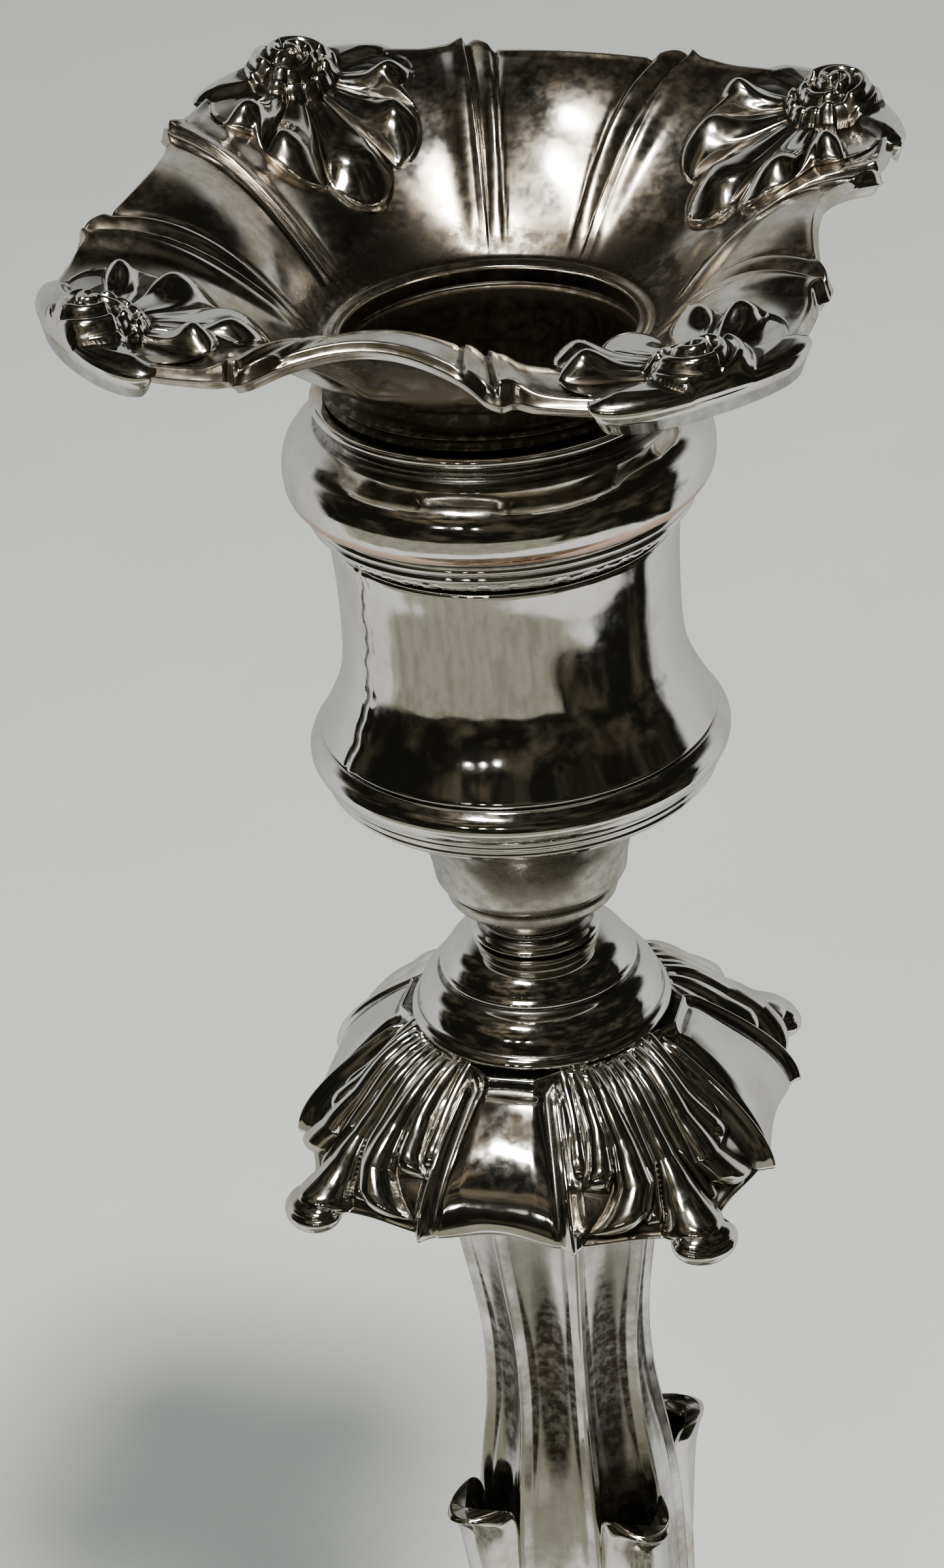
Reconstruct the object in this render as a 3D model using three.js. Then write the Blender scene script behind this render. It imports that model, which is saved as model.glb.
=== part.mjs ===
// Silver-plated table candlestick with a lift-out square nozzle.
// Millimetres, +Z up. The origin is the centre of the underside; plain panels face +-X and +-Y,
// and the shell-cornered edges lie on the diagonals.
import * as THREE from "three";

// Driving dimensions
const HOLE_Z = 240; // height of the rim round the candle hole
const CANDLE_R = 11.5; // hole for a 22 mm candle
const ROD_R = 2.2; // tie rod that pulls the stick together
const ROD_HOLE_R = 2.6;
const SEAM = 0.3; // gap left at every soldered or seated joint
const SHEET = 0.9; // thickness of the stamped sheet
const ROUND_STEPS = 24; // facets round a turned piece
const CURVE_STEPS = 3; // straight steps that a curve in a profile is drawn with
const SQUARE_STEPS = 32; // facets round a panelled piece, four to each eighth

// Nozzle pan, heights from the hole rim
const PAN_START_R = 13; // where the dish leaves the flat rim
const PAN_NOMINAL_R = 32;
const PAN_LIP = { mid: 27.6, rib: 31.2, tip: 35.6, ribAngle: 19 };
const PAN_RISE = 10.9;

// Shoulder skirt, heights from the hole rim
const SHOULDER_TOP_Z = -62.6;
const SHOULDER_DROP = 10.4;
const SHOULDER_TOP = { panel: 11.6, corner: 10.7 };
const SHOULDER_EDGE = { mid: 19.6, rib: 21.4, tip: 24, ribAngle: 17 };
const SHOULDER_FLAT_R = 10;
const SHOULDER_NOMINAL_R = 20;

// Stem, heights from the hole rim
const STEM_TOP_Z = SHOULDER_TOP_Z - SHEET - 2 * SEAM;
const STEM_BOTTOM_Z = -143;
const FLUTE_DEPTH = 0.7;

// Base, heights from the table
const BASE_TOP_Z = 30;
const BASE_EDGE_Z = 8;
const BASE_TOP_R = 30;
const BASE_HOLE_R = 24;
const BASE_EDGE = { mid: 53, rib: 57, tip: 72, ribAngle: 21 };
const BASE_NOMINAL_R = 50;
const RIM_INSET = 1.4;
const BASE_SHELL_SEAT = 0.7; // its underside clears the facets of the base

const DEGREE = Math.PI / 180;
const EIGHTH = 45 * DEGREE;

const silver = { color: 0xc9c7c0, roughness: 0.16, metalness: 1 };
const warmSilver = { color: 0xc4b8a8, roughness: 0.22, metalness: 1 };
const iron = { color: 0x55504a, roughness: 0.6, metalness: 1 };
const pitch = { color: 0x1d1915, roughness: 0.9, metalness: 0 };
const baize = { color: 0x27452f, roughness: 0.95, metalness: 0 };

// ---------------------------------------------------------------- helpers

/** Angle between an azimuth and the middle of the nearest plain panel, 0 to 45 degrees. */
function panelAngle(azimuth) {
  const quarter = 2 * EIGHTH;
  return Math.abs(azimuth - quarter * Math.round(azimuth / quarter));
}

/** Radius of a panelled edge: hollow across each panel, then swelling out to the corner tip. */
function edgeRadius(edge, azimuth) {
  const angle = panelAngle(azimuth);
  const rib = edge.ribAngle * DEGREE;
  if (angle < rib) return edge.mid + (edge.rib - edge.mid) * (angle / rib) ** 2;
  const across = (angle - rib) / (EIGHTH - rib);
  return edge.rib + (edge.tip - edge.rib) * across ** 1.6;
}

/** Radius of an octagon whose panel sides and corner sides lie at their own distances. */
function octagonRadius(distance, azimuth) {
  const angle = panelAngle(azimuth);
  return Math.min(distance.panel / Math.cos(angle), distance.corner / Math.cos(EIGHTH - angle));
}

/** Points of a profile: a pair is a straight step, four numbers are a control point and an end. */
function profile(start, ...steps) {
  const path = new THREE.Path();
  path.moveTo(...start);
  for (const step of steps) {
    if (step.length === 2) path.lineTo(...step);
    else path.quadraticCurveTo(...step);
  }
  return path.getPoints(CURVE_STEPS);
}

/** A profile that ends where it starts. */
function loop(start, ...steps) {
  return profile(start, ...steps, start);
}

/** Turns a closed body's faces outward. */
function facingOut(geometry) {
  const index = geometry.index.array;
  const position = geometry.attributes.position;
  const [a, b, c] = [new THREE.Vector3(), new THREE.Vector3(), new THREE.Vector3()];
  let volume = 0;
  for (let i = 0; i < index.length; i += 3) {
    a.fromBufferAttribute(position, index[i]);
    b.fromBufferAttribute(position, index[i + 1]);
    c.fromBufferAttribute(position, index[i + 2]);
    volume += a.dot(b.cross(c));
  }
  if (volume < 0) {
    for (let i = 0; i < index.length; i += 3) {
      [index[i], index[i + 1]] = [index[i + 1], index[i]];
    }
  }
  geometry.computeVertexNormals();
  return geometry;
}

/** Moves each vertex of a geometry to the place that a function gives it. */
function reshaped(geometry, place) {
  const position = geometry.attributes.position;
  const vertex = new THREE.Vector3();
  for (let i = 0; i < position.count; i += 1) {
    vertex.fromBufferAttribute(position, i);
    position.setXYZ(i, ...place(vertex));
  }
  return geometry;
}

/** A point given by azimuth, radius and height. */
function polar(azimuth, radius, height) {
  return [radius * Math.cos(azimuth), radius * Math.sin(azimuth), height];
}

/** A turned piece; shape(azimuth, radius, height) may give each point a new radius and height. */
function turned(points, steps, shape) {
  const geometry = new THREE.LatheGeometry(points, steps);
  geometry.rotateX(Math.PI / 2);
  if (shape) {
    reshaped(geometry, ({ x, y, z }) => {
      const azimuth = Math.atan2(y, x);
      return polar(azimuth, ...shape(azimuth, Math.hypot(x, y), z));
    });
  }
  return facingOut(geometry);
}

/** A closed slab; place(u, v, w) maps across, along and through it, each from 0 to 1. */
function slab(across, along, place) {
  const geometry = new THREE.BoxGeometry(1, 1, 1, across, along, 1);
  reshaped(geometry, ({ x, y, z }) => place(x + 0.5, y + 0.5, z + 0.5));
  return facingOut(geometry);
}

/** Height of the gadroon lobes across a corner shell, 0 in the grooves and 1 on the crests. */
function lobes(u, count) {
  return Math.abs(Math.sin(u * count * Math.PI));
}

function piece(name, geometry, finish) {
  const mesh = new THREE.Mesh(geometry, new THREE.MeshStandardMaterial(finish));
  mesh.name = name;
  return mesh;
}

/** Four copies of a corner piece, one on each diagonal. */
function fourCorners(name, makeGeometry, finish) {
  const group = new THREE.Group();
  for (let corner = 0; corner < 4; corner += 1) {
    const copy = piece(`${name}_${corner + 1}`, makeGeometry(), finish);
    copy.rotation.z = corner * 2 * EIGHTH;
    group.add(copy);
  }
  return group;
}

// ---------------------------------------------------------------- nozzle

/** Share of the way from the flat rim to the lip. */
function panShare(radius) {
  return Math.max(0, (radius - PAN_START_R) / (PAN_NOMINAL_R - PAN_START_R));
}

/** Height of the dish at a share of the way out: level, then steep, then flaring to the lip. */
function panRise(share) {
  const left = Math.max(0, 1 - share);
  return PAN_RISE * (1 - left ** 2.4) ** 1.35;
}

function dished(azimuth, radius, height) {
  const share = panShare(radius);
  const lip = edgeRadius(PAN_LIP, azimuth);
  const spread = share > 0 ? PAN_START_R + (lip - PAN_START_R) * share : radius;
  return [spread, height + panRise(share)];
}

/** Square drip pan: a rim round the hole, then a dish rising to the lip. */
function nozzlePan() {
  const points = loop(
    [CANDLE_R, -1.9], [CANDLE_R, -0.2], [12, 0.25], [12.6, -0.1], [PAN_START_R, -0.3],
    [16, -0.3], [19, -0.3], [22.5, -0.3], [27, -0.2], [PAN_NOMINAL_R, 0], [32.2, -0.7], [32, -1.3],
    [27, -1.3], [23, -1.5], [20, -1.9], [17, -2.1], [14.4, -1.9], [12.6, -1.9],
  );
  return turned(points, SQUARE_STEPS, dished);
}

/** Shell with seven lobes fanning in from a rolled knot at the pan's corner tip. */
function nozzleShell() {
  const innerShare = 0.45;
  const halfAngle = 24 * DEGREE;
  return slab(14, 4, (u, v, w) => {
    const azimuth = EIGHTH + (2 * u - 1) * halfAngle;
    const fade = Math.sin(u * Math.PI) ** 0.5;
    const share = 1 - (1 - innerShare) * v * (0.35 + 0.65 * fade);
    const radius = PAN_START_R + (PAN_NOMINAL_R - PAN_START_R) * share;
    const [spread, height] = dished(azimuth, radius, 0);
    const knot = 2.2 * Math.exp(-(((u - 0.5) / 0.12) ** 2) - (v / 0.25) ** 2);
    const relief = 0.7 + 1.1 * lobes(u, 7) * Math.sin((0.15 + 0.75 * v) * Math.PI) + knot;
    return polar(azimuth, spread, height + SEAM + w * relief);
  });
}

/** Tube that drops into the socket, with a bead that rests on the socket's rim. */
function nozzleSleeve() {
  const points = loop(
    [CANDLE_R, -23], [11.95, -23], [11.95, -5.15], [13.3, -4.75], [13.7, -4.3], [13.2, -3.8],
    [12.4, -3.4], [12.1, -2.2], [CANDLE_R, -2.2],
  );
  return turned(points, ROUND_STEPS);
}

// ---------------------------------------------------------------- socket

/** Thin loose cup inside the socket that the nozzle's tube stands in. */
function socketLiner() {
  const points = profile([0, -29.5], [12.25, -29.5], [12.25, -5.3], [12.6, -5.3], [12.6, -30], [0, -30]);
  return turned(points, ROUND_STEPS);
}

/** Rim moulding: flange, cove, big bulge, copper-edged reed and thin ring. */
function socketRim() {
  const points = loop(
    [12.95, -16.2], [12.95, -5.1], [14.2, -5.1], [14.35, -5.4], [13.6, -6.2],
    [17.1, -7.8, 16.95, -10.6], [16.6, -12.2, 15.2, -13.2], [15.4, -14], [15.1, -14.9], [14.1, -16.2],
  );
  return turned(points, ROUND_STEPS);
}

/** Plain waisted wall of the socket. */
function socketBarrel() {
  const points = loop(
    [13.7, -16.5], [13.55, -22.5], [13.5, -28, 14.4, -30.4], [15.2, -32, 16.1, -34],
    [15.4, -34], [14.6, -32.2, 13.6, -30.6], [12.95, -26], [12.95, -16.5],
  );
  return turned(points, ROUND_STEPS);
}

/** Half-round girdle with two reeds under it. */
function socketGirdle() {
  const points = loop(
    [16.1, -34.3], [17.3, -35.6, 16.5, -37.2], [16.2, -37.8], [15.8, -38.5], [15.2, -39.2],
    [14.3, -39.2], [14.9, -36.5], [15.2, -34.3],
  );
  return turned(points, ROUND_STEPS);
}

/** Bowl under the girdle, closed at the bottom, with a blind hole for the tie rod. */
function socketBowl() {
  const points = profile(
    [0, -49.5], [ROD_HOLE_R, -49.5], [ROD_HOLE_R, -52.6], [5.2, -52.6], [6.2, -51.2], [7.4, -50.2],
    [7.9, -49.4], [13.2, -44.2, 14.6, -39.5], [13.8, -39.5], [12.4, -43.6, 8, -47], [0, -47.2],
  );
  return turned(points, ROUND_STEPS);
}

function neckRing() {
  const points = loop(
    [ROD_HOLE_R, -54.6], [ROD_HOLE_R, -52.9], [4.8, -52.9], [4.4, -53.4], [4.7, -53.9], [5.3, -54.2],
    [5.2, -54.6],
  );
  return turned(points, ROUND_STEPS);
}

/** Bell-shaped knop with a ridge half way down and a stepped foot. */
function bellKnop() {
  const points = loop(
    [5.2, -54.9], [7.6, -56.2, 8.2, -57.7], [8.4, -58.2], [10.1, -59, 10.4, -61], [10.9, -61.6],
    [10.7, -62.3], [9.9, -62.3], [9.6, -60, 7.9, -59], [7, -57.4, 4.6, -56], [ROD_HOLE_R, -55.8],
    [ROD_HOLE_R, -54.9],
  );
  return turned(points, ROUND_STEPS);
}

// ---------------------------------------------------------------- shoulder

/** Outer surface of the skirt at a share of the way down, moved out by a distance. */
function skirt(azimuth, share, outward) {
  const turn = share * Math.PI / 2;
  const top = octagonRadius(SHOULDER_TOP, azimuth);
  const edge = edgeRadius(SHOULDER_EDGE, azimuth);
  const radius = top + (edge - top) * Math.sin(turn) + outward * Math.sin(turn);
  const height = SHOULDER_TOP_Z - SHOULDER_DROP * (1 - Math.cos(turn)) + outward * Math.cos(turn);
  return [radius, height];
}

/** Square skirt with four bulging plain panels, open below. */
function shoulderBody() {
  const shape = (azimuth, radius, height) => {
    if (radius < SHOULDER_FLAT_R) return [radius, SHOULDER_TOP_Z + height];
    const share = (radius - SHOULDER_FLAT_R) / (SHOULDER_NOMINAL_R - SHOULDER_FLAT_R);
    return skirt(azimuth, share, height);
  };
  const outer = [0, 0.2, 0.4, 0.6, 0.8, 1].map((share) => SHOULDER_FLAT_R * (1 + share));
  const points = loop(
    [ROD_HOLE_R, -SHEET], [ROD_HOLE_R, 0], ...outer.map((radius) => [radius, 0]),
    ...outer.reverse().map((radius) => [radius, -SHEET]),
  );
  return turned(points, SQUARE_STEPS, shape);
}

/** Corner shell of nine convex lobes spreading from a narrow top to a scroll bead at the tip. */
function shoulderShell() {
  const halfTop = 25 * DEGREE;
  return slab(18, 4, (u, v, w) => {
    const side = 2 * u - 1;
    const azimuth = EIGHTH + side * halfTop;
    const share = 0.08 + 0.9 * v;
    const bead = 2.2 * Math.exp(-((side / 0.22) ** 2) - ((1 - v) / 0.16) ** 2);
    const relief = 0.7 + (0.4 + 1.3 * v) * lobes(u, 9) * Math.sin((0.1 + 0.8 * v) * Math.PI) + bead;
    return polar(azimuth, ...skirt(azimuth, share, SEAM + w * relief));
  });
}

// ---------------------------------------------------------------- stem

/** Gives a round profile eight hollow faces with ribs between them. */
function fluted(azimuth, radius, height) {
  if (radius < ROD_HOLE_R + 1) return [radius, height];
  const fromFace = azimuth - EIGHTH * Math.round(azimuth / EIGHTH);
  const hollow = FLUTE_DEPTH * Math.cos(4 * fromFace);
  return [radius / Math.cos(fromFace) - hollow, height];
}

/** Upper stem, flared under the skirt, waisted, then full again behind the leaves. */
function stemUpper() {
  const points = loop(
    [ROD_HOLE_R, STEM_BOTTOM_Z], [ROD_HOLE_R, STEM_TOP_Z], [10, STEM_TOP_Z], [9.9, -74],
    [8.2, -79, 7.6, -92], [7.3, -104, 7.7, -118], [7.9, -132, 8.6, STEM_BOTTOM_Z],
  );
  return turned(points, SQUARE_STEPS, fluted);
}

/** Leaf on a corner face of the stem; its tip rolls outward over a hollow. */
function stemLeaf() {
  const spine = new THREE.SplineCurve([
    new THREE.Vector2(9.9, STEM_BOTTOM_Z + 1),
    new THREE.Vector2(9.4, -132),
    new THREE.Vector2(8.9, -120),
    new THREE.Vector2(9.3, -111.5),
    new THREE.Vector2(10.6, -109.3),
    new THREE.Vector2(11.6, -111.2),
  ]);
  return slab(4, 10, (u, v, w) => {
    const along = Math.min(Math.max(v, 0.001), 0.999);
    const middle = spine.getPoint(along);
    const tangent = spine.getTangent(along);
    const thickness = 0.9;
    const side = 2 * u - 1;
    const halfWidth = 3 * Math.sin(Math.PI * (0.5 + 0.36 * v ** 2)) ** 0.8;
    const sweep = 0.2 * side * side;
    const radius = middle.x - sweep + (w - 0.5) * thickness * tangent.y;
    const height = middle.y - (w - 0.5) * thickness * tangent.x;
    const azimuth = EIGHTH + (side * halfWidth) / middle.x;
    return polar(azimuth, radius + SEAM, height);
  });
}

/** Turned knop between the two lengths of stem. */
function stemKnop() {
  const points = loop(
    [ROD_HOLE_R, 80.3], [ROD_HOLE_R, 96.7], [8.3, 96.7], [9, 95.8], [8.2, 94.6], [8.4, 93.6],
    [13.8, 88.5, 8.4, 83.4], [8.2, 82.4], [8.9, 81.3], [8.1, 80.3],
  );
  return turned(points, ROUND_STEPS);
}

/** Fluted foot of the stem, spreading to the base. */
function stemFoot() {
  const points = loop(
    [ROD_HOLE_R, 52.3], [ROD_HOLE_R, 80], [8, 80], [8, 63, 13.6, 54.6], [13.8, 52.3],
  );
  return turned(points, SQUARE_STEPS, fluted);
}

// ---------------------------------------------------------------- base

/** Round domed well that carries the stem's foot. */
function baseDome() {
  const points = loop(
    [12.6, 52], [15.4, 52], [16, 51], [15.2, 50], [16, 40, 27, 33.6], [28, 32.2], [29.6, 31.6], [29.6, 30.3],
    [25, 30.3], [25, 32.5], [14.6, 38, 13.6, 49], [12.6, 50.5],
  );
  return turned(points, ROUND_STEPS);
}

/** Outer surface of the base at a share of the way out, moved down by a depth. */
function spreading(azimuth, radius, height) {
  if (radius <= BASE_TOP_R) return [radius, BASE_TOP_Z + height];
  const share = Math.min(1, (radius - BASE_TOP_R) / (BASE_NOMINAL_R - BASE_TOP_R));
  const edge = edgeRadius(BASE_EDGE, azimuth) + Math.max(0, radius - BASE_NOMINAL_R);
  const fall = Math.sin((share * Math.PI) / 2) ** 0.8;
  return [BASE_TOP_R + (edge - BASE_TOP_R) * share, BASE_TOP_Z + height - (BASE_TOP_Z - BASE_EDGE_Z) * fall];
}

/** Square spreading base with hollow panels and an upright edge. */
function basePan() {
  const rings = [33, 36, 39, 42, 46, BASE_NOMINAL_R];
  const edgeDrop = 0.9 - BASE_EDGE_Z;
  const points = loop(
    [BASE_HOLE_R, -SHEET], [BASE_HOLE_R, 0], [BASE_TOP_R, 0], ...rings.map((radius) => [radius, 0]),
    [51, -1.6], [50.4, -3.2], [51, edgeDrop], [BASE_NOMINAL_R, edgeDrop], [49.3, -3.2], [49, -SHEET],
    ...[46, 42, 39, 36, 33, BASE_TOP_R].map((radius) => [radius, -SHEET]),
  );
  return turned(points, SQUARE_STEPS, spreading);
}

/** Corner shell of the base, nine lobes spreading to the corner tip. */
function baseShell() {
  const halfAngle = 21 * DEGREE;
  return slab(18, 4, (u, v, w) => {
    const side = 2 * u - 1;
    const azimuth = EIGHTH + side * halfAngle;
    const share = 0.45 + 0.55 * v;
    const radius = BASE_TOP_R + (BASE_NOMINAL_R - BASE_TOP_R) * share;
    const bead = 2.6 * Math.exp(-((side / 0.16) ** 2) - ((1 - v) / 0.14) ** 2);
    const relief = 0.8 + 2 * lobes(u, 9) * Math.sin((0.1 + 0.8 * v) * Math.PI) + bead;
    return polar(azimuth, ...spreading(azimuth, radius, BASE_SHELL_SEAT + w * relief));
  });
}

/** Flat plate with the base's own outline, set in from its edge. */
function footPlate(bottom, top, holeRadius) {
  const shape = (azimuth, radius, height) => {
    if (radius < BASE_NOMINAL_R - 1) return [radius, height];
    return [edgeRadius(BASE_EDGE, azimuth) - RIM_INSET, height];
  };
  const points = holeRadius > 0
    ? loop([holeRadius, bottom], [BASE_NOMINAL_R, bottom], [BASE_NOMINAL_R, top], [holeRadius, top])
    : profile([0, bottom], [BASE_NOMINAL_R, bottom], [BASE_NOMINAL_R, top], [0, top]);
  return turned(points, SQUARE_STEPS, shape);
}

/** Pitch that fills the hollow base round the tie rod. */
function loading() {
  const points = loop([ROD_HOLE_R, 6.8], [44, 6.8], [40, 9], [28, 20], [22, 27], [ROD_HOLE_R, 27]);
  return turned(points, ROUND_STEPS);
}

// ---------------------------------------------------------------- tie rod

function tieRod() {
  const bottom = 3;
  const top = HOLE_Z - 50;
  const geometry = new THREE.CylinderGeometry(ROD_R, ROD_R, top - bottom, 20);
  geometry.rotateX(Math.PI / 2);
  geometry.translate(0, 0, (top + bottom) / 2);
  return geometry;
}

function rodWasher() {
  return turned(loop([ROD_HOLE_R, 5.5], [9, 5.5], [9, 6.5], [ROD_HOLE_R, 6.5]), 24);
}

function rodNut() {
  const outline = new THREE.Shape();
  for (let side = 0; side < 6; side += 1) {
    const [x, y] = polar(side * 60 * DEGREE, 4.6, 0);
    if (side === 0) outline.moveTo(x, y);
    else outline.lineTo(x, y);
  }
  outline.closePath();
  outline.holes.push(new THREE.Path().absarc(0, 0, ROD_HOLE_R, 0, 2 * Math.PI, true));
  const geometry = new THREE.ExtrudeGeometry(outline, { depth: 2.2, bevelEnabled: false, curveSegments: 20 });
  geometry.translate(0, 0, 3);
  return geometry;
}

// ---------------------------------------------------------------- assembly

const nozzle = new THREE.Group();
nozzle.add(piece("nozzle_pan", nozzlePan(), silver));
nozzle.add(fourCorners("nozzle_shell", nozzleShell, silver));
nozzle.add(piece("nozzle_sleeve", nozzleSleeve(), silver));

const socket = new THREE.Group();
socket.add(piece("socket_liner", socketLiner(), silver));
socket.add(piece("socket_rim", socketRim(), warmSilver));
socket.add(piece("socket_barrel", socketBarrel(), silver));
socket.add(piece("socket_girdle", socketGirdle(), silver));
socket.add(piece("socket_bowl", socketBowl(), silver));
socket.add(piece("neck_ring", neckRing(), warmSilver));
socket.add(piece("bell_knop", bellKnop(), silver));

const shoulder = new THREE.Group();
shoulder.add(piece("shoulder_body", shoulderBody(), silver));
shoulder.add(fourCorners("shoulder_shell", shoulderShell, silver));
shoulder.add(piece("stem_upper", stemUpper(), silver));
shoulder.add(fourCorners("stem_leaf", stemLeaf, silver));

const foot = new THREE.Group();
foot.add(piece("stem_knop", stemKnop(), silver));
foot.add(piece("stem_foot", stemFoot(), silver));
foot.add(piece("base_dome", baseDome(), silver));
foot.add(piece("base_pan", basePan(), silver));
foot.add(fourCorners("base_shell", baseShell, silver));
foot.add(piece("tie_rod", tieRod(), iron));
foot.add(piece("rod_washer", rodWasher(), iron));
foot.add(piece("rod_nut", rodNut(), iron));
foot.add(piece("loading", loading(), pitch));
foot.add(piece("base_cover", footPlate(1.9, 2.6, 0), warmSilver));
foot.add(piece("baize_pad", footPlate(0, 1.6, 0), baize));

for (const upper of [nozzle, socket, shoulder]) {
  upper.position.z = HOLE_Z;
}

const candlestick = new THREE.Group();
candlestick.add(nozzle, socket, shoulder, foot);

export default candlestick;
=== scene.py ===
"""Silver-plated candlestick: turned mouldings, panelled pans and palmette shells in worn silver.

Lengths below are in millimetres; build() turns them into metres. Azimuths are in radians,
0 along +X. Plain panels face +-X and +-Y, and the shells lie on the diagonals.
"""
import math

import bpy
import numpy as np
from mathutils import Matrix, Vector


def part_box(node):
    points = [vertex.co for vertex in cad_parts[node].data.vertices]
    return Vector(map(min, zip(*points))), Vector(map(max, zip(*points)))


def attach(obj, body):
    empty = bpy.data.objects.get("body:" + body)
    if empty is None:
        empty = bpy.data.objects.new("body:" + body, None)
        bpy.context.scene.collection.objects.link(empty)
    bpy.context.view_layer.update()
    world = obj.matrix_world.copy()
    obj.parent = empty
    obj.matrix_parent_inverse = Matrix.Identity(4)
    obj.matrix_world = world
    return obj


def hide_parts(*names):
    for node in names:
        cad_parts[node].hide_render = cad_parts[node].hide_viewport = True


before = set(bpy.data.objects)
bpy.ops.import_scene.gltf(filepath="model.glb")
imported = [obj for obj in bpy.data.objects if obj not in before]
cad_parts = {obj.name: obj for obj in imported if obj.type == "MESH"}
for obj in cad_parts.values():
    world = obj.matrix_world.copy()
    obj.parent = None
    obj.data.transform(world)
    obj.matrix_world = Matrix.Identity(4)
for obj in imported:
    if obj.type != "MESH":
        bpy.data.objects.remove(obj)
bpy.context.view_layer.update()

MM = 0.001
QUARTER = math.pi / 2
DIAGONAL = math.pi / 4
DEGREE = math.pi / 180


def top_of(node):
    """Height of a node's highest point, in millimetres."""
    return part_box(node)[1][2] / MM


RIM_DROP = 5.1  # from the hole's rim to the socket's top
HOLE_Z = top_of("socket_rim") + RIM_DROP
BASE_TOP_Z = top_of("base_pan")
PAD_TOP_Z = top_of("baize_pad")

CANDLE_R = 11.5
ROD_HOLE_R = 2.6
PAN_START_R = 13.0
PAN_NOMINAL_R = 32.0
PAN_LIP = {
    "mid": 26.3, "rib": 30.2, "tip": 34.8, "rib_angle": 19 * DEGREE, "power": 1.35, "round": True,
}
PAN_HEIGHT = {"mid": 11.1, "rib": 9.3, "tip": 9.3, "rib_angle": 19 * DEGREE, "power": 1.0}
PAN_BREADTH = 17.0  # of the dish, from its start to about the lip
KNOT_R = 31.2
SHELL_LOBES = 5
SHELL_SPREAD = 29 * DEGREE  # from one lobe to the next
SHELL_REACH = {"inward": 13.2, "outward": 3.8, "aside": 9.2}  # from the knot
NOZZLE_TURN = -3.1 * DEGREE
NOZZLE_LEAN = (-0.019, 0.062)  # rise per millimetre along X and Y
NOZZLE_STEPS = 640

SHOULDER_Z = -62.6  # from the hole's rim
SHOULDER_FLAT_R = 9.0
SHOULDER_WALL = 0.9
SHOULDER_DROP = 10.6
SHOULDER_TOP = {"panel": 11.6, "corner": 9.6}
SHOULDER_EDGE = {"mid": 19.6, "rib": 21.2, "tip": 21.5, "rib_angle": 17.5 * DEGREE, "power": 1.45}
BEAD_R = 23.4
BEAD_HALF = (2.3, 2.9, 1.6)  # outward, aside and up

# Each gadroon: shares down, places across, half widths, and the share down where it ends
SHOULDER_LOBES = (
    ((0, 0.5, 0.8, 0.95), (0, 0, 0, 0), (0.11, 0.11, 0.20, 0.27), 0.99),
    ((0, 0.5, 0.9), (0.22, 0.20, 0.30), (0.11, 0.085, 0.06), 0.88),
    ((0, 0.35, 0.6, 0.75, 0.9), (0.44, 0.36, 0.38, 0.49, 0.68), (0.12, 0.14, 0.18, 0.20, 0.17), 0.91),
    ((0, 0.3, 0.5, 0.6), (0.66, 0.62, 0.67, 0.74), (0.10, 0.11, 0.13, 0.13), 0.62),
    ((0, 0.3, 0.55), (0.86, 0.84, 0.87), (0.09, 0.09, 0.10), 0.56),
)

BASE_FALL = 22.0
BASE_CLEARANCE = 0.9  # from the table to the foot of the upright edge
BASE_WALL = 0.9
BASE_TOP_R = 30.0
BASE_NOMINAL_R = 50.0
BASE_EDGE = {"mid": 53.0, "rib": 57.0, "tip": 72.0, "rib_angle": 21 * DEGREE, "power": 1.6}

# Grid columns round a full turn
ROUND_STEPS = 200
SKIRT_STEPS = 480
BASE_STEPS = 420
FLUTE_STEPS = 280


# ------------------------------------------------------------------ numbers

def circle(steps):
    """Azimuths evenly spaced round a full turn."""
    return np.arange(steps) * (2 * math.pi / steps)


def crowded(steps, rib):
    """Azimuths round a full turn, three times closer together near the ribs than between them."""
    fine = np.arange(7200) * (2 * math.pi / 7200)
    weight = 1 + 2.5 * bump(np.abs(from_panel(fine)) - rib, 4 * DEGREE)
    total = np.concatenate([[0], np.cumsum(weight)])
    return np.interp(np.arange(steps) * total[-1] / steps, total, np.append(fine, 2 * math.pi))


def bump(distance, width):
    """A smooth hill: e to the minus square of distance over width."""
    return np.exp(-(distance / width) ** 2)


def dome(distance):
    """A half-round section: the root of one minus the distance squared, nothing past 1."""
    return np.sqrt(np.clip(1 - distance ** 2, 0, 1))


def ease(low, high, value):
    """A smooth step from 0 at low to 1 at high."""
    t = np.clip((value - low) / (high - low), 0, 1)
    return t * t * (3 - 2 * t)


def from_panel(azimuth):
    """Signed angle from the middle of the nearest plain panel."""
    return azimuth - QUARTER * np.round(azimuth / QUARTER)


def edge_radius(edge, azimuth):
    """Radius of a panelled edge: hollow across a panel by the square of the angle, and swelling over
    a corner by a power of the angle, or of its sine where the corner is round."""
    angle = np.abs(from_panel(azimuth))
    rib = edge["rib_angle"]
    panel = edge["mid"] + (edge["rib"] - edge["mid"]) * (angle / rib) ** 2
    across = np.clip((angle - rib) / (DIAGONAL - rib), 0, 1)
    if edge.get("round"):
        across = np.sin(across * QUARTER)
    corner = edge["rib"] + (edge["tip"] - edge["rib"]) * across ** edge["power"]
    return np.where(angle < rib, panel, corner)


def octagon_radius(distance, azimuth):
    """Radius of an eight-sided outline whose panel and corner sides have their own distances."""
    angle = np.abs(from_panel(azimuth))
    return np.minimum(distance["panel"] / np.cos(angle), distance["corner"] / np.cos(DIAGONAL - angle))


def polar(azimuth, radius, height):
    """Points from azimuth, radius and height."""
    azimuth, radius, height = np.broadcast_arrays(azimuth, radius, height)
    return np.stack([radius * np.cos(azimuth), radius * np.sin(azimuth), height], -1)


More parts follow.
